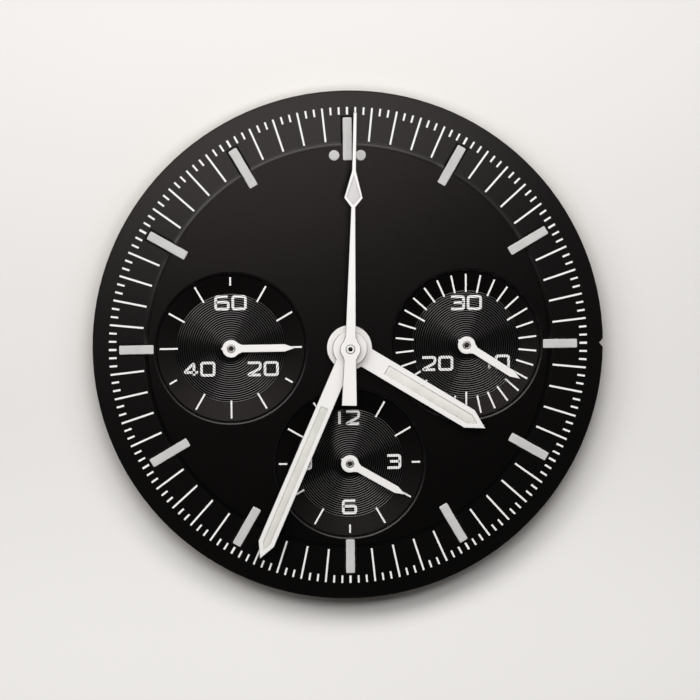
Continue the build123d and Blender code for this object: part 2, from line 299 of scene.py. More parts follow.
# %% [markdown]
# Every finish starts the same way: a material with one Principled shader. Values that are the
# same all over are set on its own sockets. A mix of two colours, or of two values, by a mask is
# needed so often that it gets a helper as well.

# %% Helpers for finishes


def begin_finish(name, roughness, metallic=0.0, specular=0.5, tint=(1.0, 1.0, 1.0, 1.0)):
    """A new material with its Principled shader set to one roughness and one tint of gloss."""
    material = bpy.data.materials.new(name)
    material.use_nodes = True
    shader = material.node_tree.nodes["Principled BSDF"]
    shader.inputs["Roughness"].default_value = roughness
    shader.inputs["Metallic"].default_value = metallic
    shader.inputs["Specular IOR Level"].default_value = specular
    shader.inputs["Specular Tint"].default_value = tint
    return material, material.node_tree, shader


def mixed_colour(tree, share, first, second):
    """First colour where share is 0, second where it is 1."""
    mix = add_node(tree, "ShaderNodeMix", {"data_type": "RGBA"}, i0=share, i6=first, i7=second)
    return mix.outputs[2]


def ramp(tree, value, start, end, low=0.0, high=1.0, settings=None):
    """A value that goes from low to high as another goes from start to end."""
    return add_node(
        tree, "ShaderNodeMapRange", settings,
        Value=value, From_Min=start, From_Max=end, To_Min=low, To_Max=high,
    ).outputs[0]


def between(tree, share, low, high):
    """A value that goes from low to high as share goes from 0 to 1."""
    return ramp(tree, share, 0.0, 1.0, low, high)


def upward(tree):
    """How far a surface faces up, from -1 underneath to 1 on top."""
    facing = add_node(tree, "ShaderNodeNewGeometry").outputs["Normal"]
    return component(tree, facing, "Z")


def faces_down(tree):
    """A mask of the surfaces that face down."""
    return arithmetic(tree, "LESS_THAN", upward(tree), -0.5)


def vary_roughness(tree, shader, grain, low, high):
    """Lets the roughness drift from low to high with the grain."""
    tree.links.new(between(tree, grain.outputs["Drift"], low, high), shader.inputs["Roughness"])


def raise_relief(tree, shader, height, distance, strength=1.0, below=None):
    """A Bump node that feeds the shader's normal. The distance is in millimetres."""
    bump = add_node(
        tree, "ShaderNodeBump", Height=height, Distance=distance * mm, Strength=strength
    )
    if below is not None:
        tree.links.new(below, bump.inputs["Normal"])
    tree.links.new(bump.outputs["Normal"], shader.inputs["Normal"])
    return bump.outputs["Normal"]


def grey(value, warmth=0.0):
    """A grey colour, a little warmer where warmth is above 0."""
    return (value * (1 + warmth), value, value * (1 - warmth), 1.0)


print("finish helpers ready")

# %% [markdown]
# The plate is brass with satin black lacquer on its face and rim. Its back is left bare, as on
# most dials, because it can't be seen in the watch. One material does both: a mask from the
# direction of the surface turns the lacquer off underneath. The lacquer mirrors less than one
# percent of the light. The chapter ring is a little glossier than the deck, and the slope between
# them and the rims of the recesses, where lacquer gathers, are the glossiest. A clear coat whose
# weight follows the radius gives this.

# %% Satin black lacquer over brass
brass_colour = (0.62, 0.46, 0.22, 1.0)
dull_brass_colour = (0.40, 0.275, 0.12, 1.0)
brass_patch_edge = (0.35, 0.65)
brass_fleck_share = 0.35
disc_low, disc_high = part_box("minute_counter_subdial")
disc_radius = (disc_high.x - disc_low.x) / 2 / mm
disc_seat_width = 0.18
recess_top_radius = disc_radius - disc_seat_width
subdial_distance = (disc_low.x + disc_high.x) / 2
subdial_centres = {
    "running_seconds": Vector((-subdial_distance, 0, 0)),
    "minute_counter": Vector((subdial_distance, 0, 0)),
    "hour_counter": Vector((0, -subdial_distance, 0)),
}


def bare_brass(tree, grain):
    """The colour of unpainted brass that has gone dull in patches."""
    patch = ramp(tree, grain.outputs["Drift"], *brass_patch_edge)
    patchy = mixed_colour(tree, patch, brass_colour, dull_brass_colour)
    fleck = between(tree, grain.outputs["Height"], 0.0, brass_fleck_share)
    return mixed_colour(tree, fleck, patchy, dull_brass_colour)


def bare_the_back(tree, shader, front, grain):
    """Gives a surface its colour, and bare brass where it faces down."""
    is_back = faces_down(tree)
    colour = mixed_colour(tree, is_back, front, bare_brass(tree, grain))
    tree.links.new(colour, shader.inputs["Base Color"])
    tree.links.new(is_back, shader.inputs["Metallic"])


def dusted(tree, colour, dust_colour, cover, **values):
    """A colour with specks of dust, which hide a share of it."""
    dust = place_group(tree, settled_dust, **values)
    hidden = arithmetic(tree, "MULTIPLY", dust.outputs["Mask"], cover)
    return mixed_colour(tree, hidden, colour, dust_colour)


def coat_band(tree, distance, starts, ends, weight, weight_beyond=0.0):
    """A coat that sets in over one range of distances, and changes or ends over a second one."""
    rise = ramp(tree, distance, *starts, 0.0, weight)
    fall = ramp(tree, distance, *ends, 0.0, weight_beyond - weight)
    return arithmetic(tree, "ADD", rise, fall)


lacquer_roughness = 0.29
slope_coat = 0.24
ring_coat = 0.075
slope_starts, slope_ends = (13.20, 13.24), (13.40, 13.46)
rim_coat = 0.42
rim_starts, rim_ends = (-0.16, -0.10), (0.045, 0.085)

lacquer, tree, shader = begin_finish(
    "satin_black_lacquer", lacquer_roughness, specular=0.083, tint=(1.0, 0.87, 0.86, 1)
)
shader.inputs["Coat Roughness"].default_value = lacquer_roughness
grain = place_group(tree, fine_grain, Grain_size=0.045, Drift_size=5.0)
black = mixed_colour(tree, grain.outputs["Drift"], grey(0.0012, 0.05), grey(0.0020, 0.06))
dusty = dusted(
    tree, black, grey(0.5, 0.05), cover=0.35, Spacing=1.9, Speck_size=0.035, Share=0.16
)
bare_the_back(tree, shader, dusty, grain)
vary_roughness(tree, shader, grain, lacquer_roughness - 0.01, lacquer_roughness + 0.01)
plate_radius = place_group(tree, turned_rings).outputs["Radius"]
coat = coat_band(tree, plate_radius, slope_starts, slope_ends, slope_coat, ring_coat)
for centre in subdial_centres.values():
    rim_radius = place_group(tree, turned_rings, Centre=centre).outputs["Radius"]
    from_rim = arithmetic(tree, "SUBTRACT", rim_radius, recess_top_radius)
    on_rim = coat_band(tree, from_rim, rim_starts, rim_ends, rim_coat)
    coat = arithmetic(tree, "ADD", coat, on_rim)
tree.links.new(coat, shader.inputs["Coat Weight"])
raise_relief(tree, shader, grain.outputs["Height"], distance=0.0012, strength=0.6)
print("finish", lacquer.name)

# %% [markdown]
# The three subdial discs are black too. A lathe tool has cut fine rings into them, which are
# modelled further down and are smoother than the plain band outside. The material paints the cut
# flanks a little paler than the lands between them, as a faint painted highlight along the rings,
# and puts a clear coat on them, adds hair-fine marks, and has a bump that turns the plain band
# into a shallow cone.

# %% Turned black
groove_outer_radius = 3.62
groove_pitch = 0.145
tool_mark_pitch = 0.019
ringed_roughness = 0.12
band_roughness = 0.36
flank_coat = 0.80
flank_coat_roughness = 0.285
cone_outer_radius = 4.85
cone_height = 0.19


def turned_black(name, centre):
    """The finish of one subdial disc, with tool marks round its own centre."""
    material, tree, shader = begin_finish(
        name, ringed_roughness, specular=0.10, tint=(1.0, 0.88, 0.86, 1)
    )
    shader.inputs["Coat Roughness"].default_value = flank_coat_roughness
    grain = place_group(tree, fine_grain, Grain_size=0.03, Drift_size=2.5)
    marks = place_group(tree, turned_rings, Centre=centre, Pitch=tool_mark_pitch)
    grooves = place_group(
        tree, turned_rings, Centre=centre, Pitch=groove_pitch, Start=groove_outer_radius
    )
    is_band = arithmetic(tree, "GREATER_THAN", grooves.outputs["Radius"], groove_outer_radius)
    flank = arithmetic(tree, "POWER", grooves.outputs["Height"], 3.0)
    flank = arithmetic(tree, "MULTIPLY", flank, arithmetic(tree, "SUBTRACT", 1.0, is_band))
    black = mixed_colour(tree, grain.outputs["Drift"], grey(0.0006, 0.05), grey(0.0012, 0.06))
    # Painted highlight: the flanks get a slightly paler colour, standing in faintly for the light
    # the bright rings catch.
    cut = mixed_colour(tree, flank, black, grey(0.009, 0.02))
    dusty = dusted(
        tree, cut, grey(0.6, 0.05), cover=0.4, Spacing=1.5, Speck_size=0.03, Share=0.12
    )
    bare_the_back(tree, shader, dusty, grain)
    roughness = between(tree, is_band, ringed_roughness, band_roughness)
    tree.links.new(roughness, shader.inputs["Roughness"])
    tree.links.new(between(tree, flank, 0.0, flank_coat), shader.inputs["Coat Weight"])
    outwards = ramp(tree, marks.outputs["Radius"], groove_outer_radius, cone_outer_radius)
    dish = raise_relief(tree, shader, outwards, cone_height)
    fine = raise_relief(
        tree, shader, grain.outputs["Height"], distance=0.0006, strength=0.5, below=dish
    )
    raise_relief(tree, shader, marks.outputs["Height"], distance=0.0005, strength=0.4, below=fine)
    return material


disc_finishes = {
    key: turned_black("turned_black_" + key, centre) for key, centre in subdial_centres.items()
}
print("finishes for", len(disc_finishes), "discs")

# %% [markdown]
# White appears four times and each time a little different. The printed ink is thin and pure
# white. The hands wear a semi-gloss paint with soft waves in it. They are sprayed from above, so
# their cut sides stay dull and the underside is bare brass, which the direction of the surface
# tells. The sides of the topmost hand are painted nearly black, as painted shadow that draws its
# outline on the white hands below.
# Luminous paint is greyer, matt and grainy, because it is full of coarse pigment. It is laid by
# hand and dries uneven, so each hand has a tone of its own.

# %% White ink, hand paint and luminous paint


def paint_finish(name, roughness, dark, light, grain_size, relief, specular=0.5):
    """A painted finish between two tones, with grain of a given size and relief in millimetres."""
    material, tree, shader = begin_finish(name, roughness, specular=specular)
    grain = place_group(tree, fine_grain, Grain_size=grain_size, Drift_size=1.3)
    tone = mixed_colour(tree, grain.outputs["Drift"], dark, light)
    fleck = between(tree, grain.outputs["Height"], 0.0, paint_fleck_share)
    tree.links.new(mixed_colour(tree, fleck, tone, dark), shader.inputs["Base Color"])
    vary_roughness(tree, shader, grain, roughness - 0.06, roughness + 0.06)
    raise_relief(tree, shader, grain.outputs["Height"], relief, strength=0.7)
    return material


def dull_and_shade_the_cut_edges(material, side, steepest, flattest):
    """Paints a hand's sides a given grey and its underside bare brass; on the top hand the grey is
    near black, as painted shadow.
    """
    tree = material.node_tree
    shader = tree.nodes["Principled BSDF"]
    is_top = ramp(tree, upward(tree), steepest, flattest)
    grain = place_group(tree, fine_grain, Grain_size=0.04, Drift_size=1.5)
    paint = shader.inputs["Base Color"].links[0].from_socket
    edged = mixed_colour(tree, is_top, side, paint)
    bare_the_back(tree, shader, edged, grain)


ink_roughness = 0.55
hand_roughness = 0.36
marker_roughness = 0.85
lume_roughness = 0.80
lume_specular = 0.3
paint_fleck_share = 0.12
hand_tones = (grey(0.65, 0.015), grey(0.705, 0.012))
hand_lume_tones = {
    "hour_hand_lume": ("hour_lume", (0.517, 0.512, 0.483, 1), (0.696, 0.686, 0.656, 1)),
    "minute_hand_lume": ("minute_lume", (0.447, 0.447, 0.410, 1), (0.66, 0.655, 0.615, 1)),
    "chronograph_hand_lume": ("diamond_lume", (0.485, 0.475, 0.485, 1), (0.60, 0.58, 0.59, 1)),
}

white_ink = paint_finish(
    "white_ink", ink_roughness, grey(0.68, 0.005), grey(0.745, 0.005),
    grain_size=0.05, relief=0.003,
)
hand_paint = paint_finish(
    "hand_paint", hand_roughness, *hand_tones, grain_size=0.12, relief=0.003
)
dull_and_shade_the_cut_edges(hand_paint, side=grey(0.22, 0.03), steepest=0.45, flattest=0.92)
top_hand_paint_and_edge_shade = paint_finish(
    "top_hand_paint_and_edge_shade", hand_roughness, *hand_tones, grain_size=0.12, relief=0.003
)
# The near-black sides are painted shadow, the thin outline this hand throws on the white hands
# below.
dull_and_shade_the_cut_edges(top_hand_paint_and_edge_shade, side=grey(0.05, 0.03), steepest=0.60, flattest=0.98)
marker_lume = paint_finish(
    "marker_lume", marker_roughness, grey(0.383, 0.01), grey(0.519, 0.01),
    grain_size=0.06, relief=0.010, specular=lume_specular,
)
hand_lumes = {
    node: paint_finish(
        name, lume_roughness, dark, light, grain_size=0.05, relief=0.008, specular=lume_specular
    )
    for node, (name, dark, light) in hand_lume_tones.items()
}
print("seven whites")

# %% [markdown]
# Numbers on the subdials are printed across the grooves, so the ink follows them and its edges
# look combed. The ring group gives that pattern, centred on each subdial, as a bump and as painted
# light and shade: the ink is lighter over the groove flanks and darker on the lands between them.

# %% Ink over grooves


def ink_over_grooves(name, centre, shaded_tone, lit_tone):
    """White ink that rises and falls with the grooves under it, with painted light and shade that
    follow them.
    """
    material, tree, shader = begin_finish(name, ink_roughness)
    grain = place_group(tree, fine_grain, Grain_size=0.05, Drift_size=1.0)
    rings = place_group(
        tree, turned_rings, Centre=centre, Pitch=groove_pitch, Start=groove_outer_radius
    )
    # Painted light and shade: the ink is lighter over the groove flanks and darker on the lands
    # between them.
    tone = mixed_colour(tree, rings.outputs["Height"], grey(shaded_tone), grey(lit_tone))
    tree.links.new(tone, shader.inputs["Base Color"])
    low = raise_relief(tree, shader, grain.outputs["Height"], distance=0.003, strength=0.5)
    raise_relief(tree, shader, rings.outputs["Height"], distance=0.02, strength=0.8, below=low)
    return material


# Shaded and lit tone of each subdial's ink. The hour counter's shaded tone is raised, as painted
# light that lifts the shadow a hand throws on its 12.
ink_light_and_shade_tones = {
    "running_seconds": (0.30, 0.87),
    "minute_counter": (0.30, 0.88),
    "hour_counter": (0.50, 0.78),
}
number_inks = {
    key: ink_over_grooves("ink_over_grooves_" + key, centre, *ink_light_and_shade_tones[key])
    for key, centre in subdial_centres.items()
}
print("inks for", len(number_inks), "subdials")

# %% [markdown]
# The collets are turned from a pale alloy and stay bare. Their ends show rings from the tool, and
# their bores, with a narrow rim round them, carry painted shade. Only the end of the middle one is
# white, because it was painted with its hand, and a dark line shows where it meets the hub. The
# feet are copper wire, dull and a little brown from handling.

# %% Turned collets and copper feet
dial_centre = Vector((0, 0, 0))
hand_centres = {
    "hour_hand": dial_centre,
    "minute_hand": dial_centre,
    "chronograph_hand": dial_centre,
    "running_seconds_hand": subdial_centres["running_seconds"],
    "minute_counter_hand": subdial_centres["minute_counter"],
    "hour_counter_hand": subdial_centres["hour_counter"],
}
bore_radii = {"hour_hand": 0.75, "minute_hand": 0.45, "chronograph_hand": 0.125}
small_bore_radius = 0.15
# How far the painted shade of a bore reaches past its rim, in millimetres, on a bare end and on
# the painted end.
bore_shade = 0.004
painted_bore_shade = 0.026
hub_joint_radius = 0.262
painted_end_depth = 0.02
metal_roughness = 0.42
collet_ring_pitch = 0.025
copper_ring_pitch = 0.04


def bare_metal(name, colour, worn_colour, roughness, centre, pitch):
    """Bare turned metal with tool rings round a centre and a slow change of tone."""
    material, tree, shader = begin_finish(name, roughness, metallic=1.0)
    grain = place_group(tree, fine_grain, Grain_size=0.04, Drift_size=0.6)
    rings = place_group(tree, turned_rings, Centre=centre, Pitch=pitch)
    tone = mixed_colour(tree, grain.outputs["Drift"], colour, worn_colour)
    tree.links.new(tone, shader.inputs["Base Color"])
    vary_roughness(tree, shader, grain, roughness - 0.08, roughness + 0.10)
    low = raise_relief(tree, shader, grain.outputs["Height"], distance=0.002, strength=0.6)
    raise_relief(tree, shader, rings.outputs["Height"], distance=0.004, strength=0.6, below=low)
    return material


def collet_finish(name, centre):
    """Bare metal with painted shade in its bore. The chronograph hand's collet has a painted end.
    """
    is_painted = name == "chronograph_hand"
    material = bare_metal(
        "collet_metal_" + name, grey(0.27, 0.02), grey(0.42, 0.02),
        metal_roughness, centre, collet_ring_pitch,
    )
    tree = material.node_tree
    shader = tree.nodes["Principled BSDF"]
    radius = place_group(tree, turned_rings, Centre=centre).outputs["Radius"]
    shade_width = painted_bore_shade if is_painted else bore_shade
    painted_shade_reach = bore_radii.get(name, small_bore_radius) + shade_width
    # Painted shade: the bore, and on the painted end a narrow rim round it, is coloured nearly
    # black.
    painted_shade_in_bore = arithmetic(tree, "LESS_THAN", radius, painted_shade_reach)
    metal = shader.inputs["Base Color"].links[0].from_socket
    if is_painted:
        end_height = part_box(name + "_tube")[1].z
        height = component(tree, object_place(tree), "Z")
        is_end = arithmetic(tree, "GREATER_THAN", height, end_height - painted_end_depth * mm)
        is_joint = arithmetic(tree, "GREATER_THAN", radius, hub_joint_radius)
        paint = mixed_colour(tree, is_joint, grey(0.66, 0.01), grey(0.16, 0.02))
        metal = mixed_colour(tree, is_end, metal, paint)
        tree.links.new(arithmetic(tree, "SUBTRACT", 1.0, is_end), shader.inputs["Metallic"])
    tree.links.new(mixed_colour(tree, painted_shade_in_bore, metal, grey(0.004)), shader.inputs["Base Color"])
    return material


collet_finishes = {name: collet_finish(name, centre) for name, centre in hand_centres.items()}
copper_finishes = {}
for name in ("dial_foot_1", "dial_foot_2"):
    low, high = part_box(name)
    copper_finishes[name] = bare_metal(
        "copper_" + name, (0.55, 0.27, 0.16, 1), (0.72, 0.42, 0.27, 1),
        metal_roughness, (low + high) / 2, copper_ring_pitch,
    )
print(len(collet_finishes), "collets and", len(copper_finishes), "feet")

# %% [markdown]
# Now the solid nodes get their finishes. Each node's slots are filled with one material, and the
# mesh itself isn't touched.

# %% Finish the solid nodes


def finish_node(name, material):
    """Puts one material on a solid node."""
    node = nodes[name]
    if not node.material_slots:
        node.data.materials.append(material)
    for slot in node.material_slots:
        slot.material = material


finish_node("dial_plate", lacquer)
for key in subdial_centres:
    finish_node(key + "_subdial", disc_finishes[key])
    finish_node(key + "_scale", white_ink)
finish_node("minute_track", white_ink)
for name in nodes:
    if name.startswith(("hour_marker", "twelve_dot")):
        finish_node(name, marker_lume)
    elif name.endswith("_lume"):
        finish_node(name, hand_lumes[name])
for name in hand_centres:
    finish_node(name, top_hand_paint_and_edge_shade if name == "chronograph_hand" else hand_paint)
    finish_node(name + "_tube", collet_finishes[name])
for name, material in copper_finishes.items():
    finish_node(name, material)
print("finished", len(nodes), "solid nodes")

# %% [markdown]
# The discs and the digits below start from one vertex that is drawn along a path, as with a
# pencil. A tiny plane is added, merged to a single vertex and moved to where the path starts, and
# each further point is an extrude. The path can then be spun, raised or thickened. Helpers for
# steps that come back with every piece follow.

# %% Draw a path and handle a piece


def apply_transform():
    """Writes the place, turn and scale of the selected piece into its mesh."""
    bpy.ops.object.transform_apply(location=True, rotation=True, scale=True)


def pick(piece):
    """Makes one piece the only selected one and the active one."""
    bpy.ops.object.select_all(action="DESELECT")
    piece.select_set(True)
    bpy.context.view_layer.objects.active = piece


def edit_whole_mesh():
    """Opens the active piece in edit mode with all of it selected."""
    bpy.ops.object.mode_set(mode="EDIT")
    bpy.ops.mesh.select_all(action="SELECT")


def draw_path(name, points):
    """A chain of edges through points. It is closed where the last point is the first one."""
    path = [Vector(point) for point in points]
    bpy.ops.mesh.primitive_plane_add(size=0.1 * mm)
    made = bpy.context.object
    made.name = name
    bpy.ops.object.mode_set(mode="EDIT")
    bpy.ops.mesh.select_mode(type="VERT")
    bpy.ops.mesh.select_all(action="SELECT")
    bpy.ops.mesh.merge(type="CENTER")
    bpy.ops.transform.translate(value=path[0])
    for last, point in zip(path, path[1:]):
        bpy.ops.mesh.extrude_vertices_move(TRANSFORM_OT_translate={"value": point - last})
    if path[0] == path[-1]:
        bpy.ops.mesh.select_all(action="SELECT")
        bpy.ops.mesh.remove_doubles(threshold=0.001 * mm)
    bpy.ops.object.mode_set(mode="OBJECT")
    return made


def scale_mesh(piece, factor):
    """Scales a piece by its mesh. Many are shaped a thousand times too large, then shrunk."""
    pick(piece)
    piece.scale = (factor, factor, factor)
    apply_transform()


def give(piece, material, body):
    """Sets a new piece's finish and the body it rides on."""
    piece.data.materials.clear()
    piece.data.materials.append(material)
    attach(piece, body)


print("path and piece helpers ready")

# %% [markdown]
# A subdial disc is turned on a lathe. Its face carries 22 fine grooves round the centre, and a
# plain band is left outside them for the printed lines. The natural way to make a turned part is
# to draw half of its section and spin it once round. Real grooves beat a painted pattern here,
# because their slopes catch the lamp at the top and bottom only, as they do on the real dial.

# %% Turn the subdial discs
groove_count = 22
groove_slope_share = 0.21
groove_depth = 0.0142
arbor_hole_radius = 0.32
spin_steps = 120
disc_top = disc_high.z / mm

profile = [(arbor_hole_radius, 0.0), (arbor_hole_radius, disc_top)]
first_groove = groove_outer_radius - groove_count * groove_pitch
for index in range(groove_count):
    start = first_groove + index * groove_pitch
    middle = start + 0.5 * groove_pitch
    profile.append((middle - groove_slope_share * groove_pitch, disc_top))
    profile.append((middle, disc_top - groove_depth))
    profile.append((middle + groove_slope_share * groove_pitch, disc_top))
profile += [(disc_radius, disc_top), (disc_radius, 0.0)]
profile.append(profile[0])
section = [(radius * mm, 0, height * mm) for radius, height in profile]

master_disc = draw_path("turned_disc", section)
edit_whole_mesh()
bpy.ops.mesh.spin(steps=spin_steps, angle=2 * math.pi, center=(0, 0, 0), axis=(0, 0, 1))
bpy.ops.mesh.select_all(action="SELECT")
bpy.ops.mesh.remove_doubles(threshold=0.0005 * mm)
bpy.ops.mesh.normals_make_consistent(inside=False)
bpy.ops.object.mode_set(mode="OBJECT")
bpy.ops.object.shade_smooth_by_angle(angle=math.radians(12))
print("one disc has", len(master_disc.data.polygons), "faces")

# %% [markdown]
# The three discs are alike, so one is turned and then copied. Each copy is moved by its mesh,
# which leaves every object at the origin.

# %% Copy the disc to its three seats


def move_mesh(piece, offset):
    """Moves a piece by its mesh, so that its object stays at the origin."""
    pick(piece)
    piece.location = offset
    apply_transform()


def copy_of(piece, name):
    """A copy with its own mesh."""
    pick(piece)
    bpy.ops.object.duplicate(linked=False)
    made = bpy.context.object
    made.name = name
    return made


for key, centre in subdial_centres.items():
    disc = copy_of(master_disc, "grooved_disc_" + key)
    move_mesh(disc, centre)
    give(disc, disc_finishes[key], "dial")
    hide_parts(key + "_subdial")
bpy.data.objects.remove(master_disc)
print("three discs in their seats")

# %% [markdown]
# The hands, their collets, the feet and the plate have the right shape in the solid model, but
# every edge of it is knife sharp. Real stamped and lacquered edges are slightly round, and that
# thin round catches the light as a bright line. Each piece is copied, its loose triangles are
# merged into clean faces, and a narrow bevel goes along all sharp edges. The copy is shaped a
# thousand times too large, because the bevel is more exact on larger numbers. Weighted normals
# then keep the broad faces flat to the eye, and leave all the rounding to the narrow bevel.

# %% Copy a solid node and round its edges
deck_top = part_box("dial_plate")[1].z / mm
step_height = 0.12
ring_top = deck_top - step_height
deck_edge_radius = 13.12
deck_foot_radius = 13.36
rim_roll_width = 0.09
step_roll_width = 0.035
merge_distance = 0.0004
height_slack = 0.002
radius_slack = 0.02
flat_angle = math.radians(0.4)


def open_clean_copy(node, name):
    """A copy of a solid node, a thousand times as large and merged, left open in edit mode."""
    piece = copy_of(nodes[node], name)
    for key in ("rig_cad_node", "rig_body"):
        if key in piece:
            del piece[key]
    piece.parent = None
    scale_mesh(piece, 1 / mm)
    edit_whole_mesh()
    bpy.ops.mesh.remove_doubles(threshold=merge_distance)
    bpy.ops.mesh.dissolve_limited(angle_limit=flat_angle)
    return piece


def select_edges(piece, wanted):
    """Selects the edges whose two ends pass a test, and leaves edit mode open on them."""
    bpy.ops.object.mode_set(mode="EDIT")
    bpy.ops.mesh.select_mode(type="EDGE")
    bpy.ops.mesh.select_all(action="DESELECT")
    bpy.ops.object.mode_set(mode="OBJECT")
    for edge in piece.data.edges:
        edge.select = wanted(*[piece.data.vertices[index].co for index in edge.vertices])
    bpy.ops.object.mode_set(mode="EDIT")


def roll_edges(piece, centres, circle_radius, height, width):
    """Rounds the edges that lie on circles of one radius, in millimetres, at one height."""
    def is_on_a_circle(first, second):
        points = (first, second, (first + second) / 2)
        if any(abs(point.z - height) >= height_slack for point in points):
            return False
        return any(
            all(abs((point.xy - centre.xy / mm).length - circle_radius) < radius_slack
                for point in points)
            for centre in centres
        )

    select_edges(piece, is_on_a_circle)
    bpy.ops.mesh.bevel(offset=width, segments=5)
    bpy.ops.object.mode_set(mode="OBJECT")


def softened(node, width):
    """A copy of a solid node with all its sharp edges rounded by a width in millimetres."""
    piece = open_clean_copy(node, "soft_" + node)
    bpy.ops.mesh.select_all(action="DESELECT")
    bpy.ops.object.mode_set(mode="OBJECT")
    if node == "dial_plate":
        roll_edges(piece, subdial_centres.values(), recess_top_radius, deck_top, rim_roll_width)
        roll_edges(piece, [dial_centre], deck_edge_radius, deck_top, step_roll_width)
        roll_edges(piece, [dial_centre], deck_foot_radius, ring_top, step_roll_width)
    edge = piece.modifiers.new("round_edge", "BEVEL")
    edge.width = width
    edge.segments = 2
    edge.limit_method = "ANGLE"
    edge.angle_limit = math.radians(25)
    bpy.ops.object.modifier_apply(modifier=edge.name)
    scale_mesh(piece, mm)
    bpy.ops.object.shade_smooth_by_angle(angle=math.radians(32))
    level = piece.modifiers.new("level_faces", "WEIGHTED_NORMAL")
    level.weight = 100
    level.keep_sharp = True
    bpy.ops.object.modifier_apply(modifier=level.name)
    return piece


print("edge helpers ready")

# %% [markdown]
# Each kind of piece gets a bevel of its own width, judged from the bright line along its edge in
# the photograph.

# %% Soften the hands, the feet and the plate
small_hand_edge = 0.035
centre_hand_edge = 0.022
collet_edge = 0.012
foot_edge = 0.03
plate_edge = 0.035

for name in hand_centres:
    is_small = name.endswith(("seconds_hand", "counter_hand"))
    hand = softened(name, small_hand_edge if is_small else centre_hand_edge)
    give(hand, top_hand_paint_and_edge_shade if name == "chronograph_hand" else hand_paint, name)
    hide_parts(name)
    collet = softened(name + "_tube", collet_edge)
    give(collet, collet_finishes[name], name)
    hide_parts(name + "_tube")
for name, material in copper_finishes.items():
    foot = softened(name, foot_edge)
    give(foot, material, "dial")
    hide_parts(name)
plate = softened("dial_plate", plate_edge)
give(plate, lacquer, "dial")
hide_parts("dial_plate")
print("plate has", len(plate.data.polygons), "faces")

# %% [markdown]
# An hour marker is a block of luminous paint on its tab. It is laid wet, so its corners and edges
# are round and no two markers are alike. One block is shaped from a grid for each of the two
# lengths: the grid is extruded down, its corners and its upper rim are bevelled, and the even
# cells let a seeded jitter and a smoothing pass spread over it without creases. The copies are
# turned to their hours first, so that each gets a jitter of its own.

# %% Shape the luminous markers
block_corner_width = 0.07
block_rim_width = 0.035
jitter = 0.034


def paint_block(name, node):
    """A block of paint as large as a marker at 12, 3, 6 or 9, standing along +Y."""
    low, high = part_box(node)
    size = (high - low) / mm
    middle = (high + low) / 2 / mm
    width, length = min(size.x, size.y), max(size.x, size.y)
    distance = math.hypot(middle.x, middle.y)
    bpy.ops.mesh.primitive_grid_add(x_subdivisions=5, y_subdivisions=20, size=1)
    block = bpy.context.object
    block.name = name
    block.scale = (width, length, 1)
    apply_transform()
    edit_whole_mesh()
    bpy.ops.mesh.extrude_region_move(TRANSFORM_OT_translate={"value": (0, 0, -size.z)})
    bpy.ops.mesh.select_all(action="SELECT")
    bpy.ops.mesh.normals_make_consistent(inside=False)
    select_edges(block, lambda a, b: (
        abs(a.z - b.z) > size.z / 2
        and abs(abs(a.x) - width / 2) < 0.001
        and abs(abs(a.y) - length / 2) < 0.001
    ))
    bpy.ops.mesh.bevel(offset=block_corner_width, segments=3)
    bpy.ops.mesh.select_all(action="DESELECT")
    bpy.ops.mesh.edges_select_sharp(sharpness=math.radians(60))
    bpy.ops.object.mode_set(mode="OBJECT")
    for edge in block.data.edges:
        is_up = all(block.data.vertices[index].co.z > -size.z / 2 for index in edge.vertices)
        edge.select = edge.select and is_up
    bpy.ops.object.mode_set(mode="EDIT")
    bpy.ops.mesh.bevel(offset=block_rim_width, segments=3)
    bpy.ops.object.mode_set(mode="OBJECT")
    block.location = (0, distance, high.z / mm)
    apply_transform()
    return block


def laid_by_hand(piece, seed):
    """A seeded jitter, smoothed out, that makes a piece of wet paint its own."""
    pick(piece)
    edit_whole_mesh()
    bpy.ops.transform.vertex_random(offset=jitter, uniform=0.0, normal=0.0, seed=seed)
    bpy.ops.mesh.vertices_smooth(factor=0.5, repeat=2)
    bpy.ops.object.mode_set(mode="OBJECT")
    bpy.ops.object.shade_smooth_by_angle(angle=math.radians(60))


def turned_copy(piece, name, clock_angle):
    """A copy turned round the dial's centre to a clock angle."""
    made = copy_of(piece, name)
    made.rotation_euler = (0, 0, -math.radians(clock_angle))
    apply_transform()
    return made


long_block = paint_block("long_block", "hour_marker_12")
short_block = paint_block("short_block", "hour_marker_03")
for hour in range(1, 13):
    node = "hour_marker_%02d" % hour
    master = short_block if hour in (3, 6, 9) else long_block
    marker = turned_copy(master, "painted_" + node, 30 * hour)
    laid_by_hand(marker, hour)
    scale_mesh(marker, mm)
    give(marker, marker_lume, "dial")
    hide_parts(node)
for block in (long_block, short_block):
    bpy.data.objects.remove(block)
print("twelve painted markers")

# %% [markdown]
# The two dots beside 12 are drops of the same paint. Each starts as a short drum, and its upper
# rim is rounded over most of its height before the jitter.

# %% Shape the two dots
dot_rim_width = 0.05
dot_core_radius = 0.2
for seed, node in ((21, "twelve_dot_left"), (22, "twelve_dot_right")):
    low, high = (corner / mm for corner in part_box(node))
    middle = (low + high) / 2
    bpy.ops.mesh.primitive_cylinder_add(
        vertices=28, radius=(high.x - low.x) / 2, depth=high.z - low.z, end_fill_type="TRIFAN",
        location=middle,
    )
    dot = bpy.context.object
    dot.name = "painted_" + node
    apply_transform()
    select_edges(dot, lambda a, b: all(
        end.z > middle.z and (end.xy - middle.xy).length > dot_core_radius for end in (a, b)
    ))
    bpy.ops.mesh.bevel(offset=dot_rim_width, segments=4)
    bpy.ops.object.mode_set(mode="OBJECT")
    laid_by_hand(dot, seed)
    scale_mesh(dot, mm)
    give(dot, marker_lume, "dial")
    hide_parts(node)
print("two painted dots")

